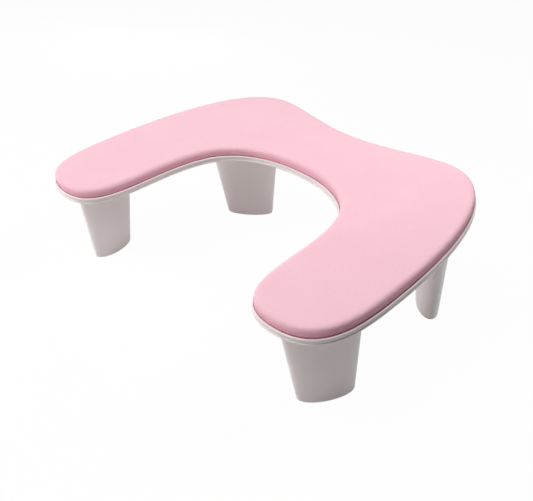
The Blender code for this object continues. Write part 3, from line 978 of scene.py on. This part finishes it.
class HANDREST_OT_tray(bpy.types.Operator):
    """Model the white tray with its ledge, skirt, ribs, spigots and screw holes"""

    bl_idname = "handrest.tray"
    bl_label = "Tray"
    bl_options = {"REGISTER", "UNDO"}

    def execute(self, context):
        made = settings()
        tray, legs = made.tray, made.legs
        under, fit = underside(), tray.fit
        shell = slab("tray", 0.0, -tray.skirt, 0.0)
        soften(shell, 0.0, tray.rim_fillet)
        soften(shell, -tray.skirt, tray.skirt_fillet)
        cut(shell, [skirt_band()])
        cut(shell, [slab("recess", tray.ledge, -tray.recess, fit)])
        pocket = slab("pocket", tray.wall, -tray.skirt - fit, under)
        cut(pocket, tray_ribs())
        places = [facts for name, facts in named_legs()]
        cut(pocket, [oval("seat", facts, -fit, -tray.skirt - fit, under) for facts in places], "UNION")
        post = legs.pad_screw_shank + 2 * fit + 4 * tray.boss_wall
        low = under - tray.rib_drop
        cut(pocket, [drum("post", centre, post, low, under + fit) for centre in pad_screw_places()])
        cut(shell, [pocket])
        low = under - tray.spigot_drop
        boss = legs.screw_shank + 2 * fit + 2 * tray.boss_wall
        seat = -tray.recess
        added, holes = [], []
        for facts in places:
            spigot = oval("spigot", facts, legs.wall + fit, low, under + fit)
            bore = oval("bore", facts, legs.wall + fit + tray.spigot_wall, low - fit, under + 2 * fit)
            cut(spigot, [bore])
            added.append(spigot)
            for centre in leg_screw_places(facts):
                added.append(drum("boss", centre, boss, low, under + fit))
                depth = tray.deck + tray.spigot_drop + fit
                holes += cone_hole("hole", centre, legs.screw_shank, legs.screw_head, seat, depth, True)
        cut(shell, added, "UNION")
        face = under - tray.rib_drop
        for centre in pad_screw_places():
            depth = tray.deck + tray.rib_drop + fit
            shank, head = legs.pad_screw_shank, legs.pad_screw_head
            holes += cone_hole("hole", centre, shank, head, face, depth, False)
        cut(shell, holes)
        settle(shell, "moulded_tray")
        hand_over(shell, "satin_white_plastic", "shell", "tray")
        return {"FINISHED"}


# Legs and feet

class HANDREST_OT_legs(bpy.types.Operator):
    """Model the four tapered oval legs as hollow mouldings"""

    bl_idname = "handrest.legs"
    bl_label = "Legs"
    bl_options = {"REGISTER", "UNDO"}

    def execute(self, context):
        made = settings()
        tray, legs = made.tray, made.legs
        fit = tray.fit
        sole = legs.pad - legs.socket
        down = Vector((0.0, -sin(made.plan.slope), -cos(made.plan.slope)))
        for name, facts in named_legs():
            low, high = facts["level"] - legs.foot_length * tan(made.plan.slope), facts["high"]
            body = oval("leg", facts, 0.0, low, high)
            floor_cut(body, sole)
            select_where(body, "FACE", lambda face: face.normal.dot(down) > 0.999)
            bpy.ops.mesh.region_to_loop()
            round_selected(legs.edge)
            core = oval("core", facts, legs.wall, low, high + fit)
            floor_cut(core, sole + legs.floor)
            cut(body, [core])
            cut(body, [foot_disc("socket", facts, legs.margin - fit, 0.0, legs.pad + fit)])
            settle(body, "oval_leg_" + name)
            hand_over(body, "satin_white_plastic", "shell", "leg_" + name)
        return {"FINISHED"}


def foot_disc(name, facts, margin, low, high):
    """An upright oval disc under a leg, between two heights above the table."""
    legs = settings().legs
    bpy.ops.object.select_all(action="DESELECT")
    bpy.ops.mesh.primitive_cylinder_add(vertices=legs.segments, radius=0.5, depth=high - low)
    obj = in_scene(bpy.context.object)
    obj.name = name
    obj.location = (0.0, 0.0, (low + high) / 2)
    obj.scale = (legs.foot_length - 2 * margin, legs.foot_width - 2 * margin, 1.0)
    apply_place(obj)
    obj.rotation_euler.z = facts["turn"]
    apply_place(obj)
    obj.rotation_euler.x = -settings().plan.slope
    obj.location = (*facts["foot"], facts["level"])
    apply_place(obj)
    return obj


class HANDREST_OT_feet(bpy.types.Operator):
    """Model the rubber feet with rounded edges"""

    bl_idname = "handrest.feet"
    bl_label = "Feet"
    bl_options = {"REGISTER", "UNDO"}

    def execute(self, context):
        legs = settings().legs
        for name, facts in named_legs():
            foot = foot_disc("foot", facts, legs.margin, 0.0, legs.pad)
            use_modifier(
                foot, "BEVEL", width=legs.pad_edge, segments=2, limit_method="ANGLE", angle_limit=radians(50)
            )
            settle(foot, "rubber_foot_" + name)
            hand_over(foot, "matt_rubber", "foot", "foot_" + name)
        return {"FINISHED"}


class HANDREST_OT_screws(bpy.types.Operator):
    """Finish the CAD screws, which keep their shape"""

    bl_idname = "handrest.screws"
    bl_label = "Screws"
    bl_options = {"REGISTER", "UNDO"}

    def execute(self, context):
        for name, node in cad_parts.items():
            if "screw" in name:
                finish_with(node, "zinc_plated_steel")
        return {"FINISHED"}


# Stage

def soft_lamp(name, place, width, power):
    """A soft square lamp that looks at the deck."""
    bpy.ops.object.light_add(type="AREA", location=place)
    lamp = in_scene(bpy.context.object)
    lamp.name = name
    lamp.data.shape = "SQUARE"
    lamp.data.size = width
    lamp.data.energy = power
    lamp.rotation_euler = (Vector(place) - LAMP_AIM).to_track_quat("Z", "Y").to_euler()


def seen_directly(add):
    """One for rays of the camera, of gloss and through glass, else zero."""
    path = add("ShaderNodeLightPath")
    seen = path.outputs["Is Camera Ray"]
    for name in ("Is Glossy Ray", "Is Transmission Ray"):
        seen = add("ShaderNodeMath", {0: seen, 1: path.outputs[name]}, operation="MAXIMUM").outputs[0]
    return seen


def white_world():
    """Surroundings that show white, and give the object no light of their own."""
    world = bpy.data.worlds.new("studio")
    bpy.context.scene.world = world
    world.use_nodes = True
    tree = world.node_tree
    background = tree.nodes["Background"]
    background.inputs["Color"].default_value = (1.0, 1.0, 1.0, 1.0)
    tree.links.new(seen_directly(node_adder(tree)), background.inputs["Strength"])


def floor_material(level):
    """A pale floor that keeps the shadow, and shows nearly white to the camera."""
    material, tree, shader, add = new_material("pale_floor")
    shader.inputs["Base Color"].default_value = (FLOOR_GREY, FLOOR_GREY, FLOOR_GREY, 1.0)
    shader.inputs["Roughness"].default_value = 1.0
    shader.inputs["Specular IOR Level"].default_value = 0.0
    white = add("ShaderNodeEmission", {"Color": (1.0, 1.0, 1.0, 1.0), "Strength": 1.0})
    share = add("ShaderNodeMath", {0: seen_directly(add), 1: level}, operation="MULTIPLY")
    mix = add("ShaderNodeMixShader", {0: share.outputs[0], 1: shader.outputs[0], 2: white.outputs[0]})
    tree.links.new(mix.outputs[0], tree.nodes["Material Output"].inputs["Surface"])
    return material


class HANDREST_OT_stage(bpy.types.Operator):
    """Set the camera, the soft studio light and the pale floor"""

    bl_idname = "handrest.stage"
    bl_label = "Stage"
    bl_options = {"REGISTER", "UNDO"}

    def execute(self, context):
        stage = settings().stage
        bpy.ops.object.select_all(action="DESELECT")
        bpy.ops.object.camera_add(location=stage.camera_place)
        camera = in_scene(bpy.context.object)
        camera.name = "camera"
        back = Vector(stage.camera_back).normalized()
        right = Vector(stage.camera_right)
        right = (right - back * right.dot(back)).normalized()
        turn = Matrix((right, back.cross(right), back)).transposed()
        camera.rotation_euler = turn.to_euler()
        camera.data.lens = stage.lens
        camera.data.sensor_width = stage.sensor
        camera.data.shift_x = stage.shift_x
        camera.data.shift_y = stage.shift_y
        camera.data.clip_start = stage.clip
        context.scene.camera = camera

        bpy.ops.object.select_all(action="DESELECT")
        bpy.ops.mesh.primitive_plane_add(size=FLOOR_WIDTH, location=(0.0, 0.0, -FLOOR_DROP))
        floor = in_scene(bpy.context.object)
        apply_place(floor)
        floor.name = "floor"
        floor.data.materials.append(floor_material(stage.floor_level))

        for name, place, width in LAMPS:
            soft_lamp(name, place, width, getattr(stage, name + "_power"))
        white_world()
        scene = context.scene
        scene.view_settings.view_transform = "Standard"
        if scene.camera is None:
            raise RuntimeError("The stage has no camera")
        return {"FINISHED"}


OPERATORS = (
    HANDREST_OT_stage,
    HANDREST_OT_cushion,
    HANDREST_OT_filling,
    HANDREST_OT_tray,
    HANDREST_OT_legs,
    HANDREST_OT_feet,
    HANDREST_OT_screws,
)


class HANDREST_PT_pieces(bpy.types.Panel):
    """The pieces and their settings"""

    bl_label = "Hand Rest"
    bl_space_type = "VIEW_3D"
    bl_region_type = "UI"
    bl_category = "Hand Rest"

    def draw(self, context):
        layout = self.layout
        for operator in OPERATORS:
            layout.operator(operator.bl_idname)
        for name, group in GROUPS:
            box = layout.box()
            box.label(text=name.title())
            values = getattr(context.scene.hand_rest, name)
            for key in group.__annotations__:
                box.prop(values, key)


CLASSES = tuple(group for name, group in GROUPS) + (HandRestSettings,) + OPERATORS + (HANDREST_PT_pieces,)


def register():
    """Register the classes and the scene's settings."""
    for made in CLASSES:
        bpy.utils.register_class(made)
    bpy.types.Scene.hand_rest = PointerProperty(type=HandRestSettings)


def unregister():
    """Remove the settings and the classes."""
    del bpy.types.Scene.hand_rest
    for made in reversed(CLASSES):
        bpy.utils.unregister_class(made)


def main():
    """Build the whole scene."""
    register()
    bpy.ops.handrest.stage()
    bpy.ops.handrest.cushion()
    bpy.ops.handrest.filling()
    bpy.ops.handrest.tray()
    bpy.ops.handrest.legs()
    bpy.ops.handrest.feet()
    bpy.ops.handrest.screws()


if __name__ == "__main__":
    main()
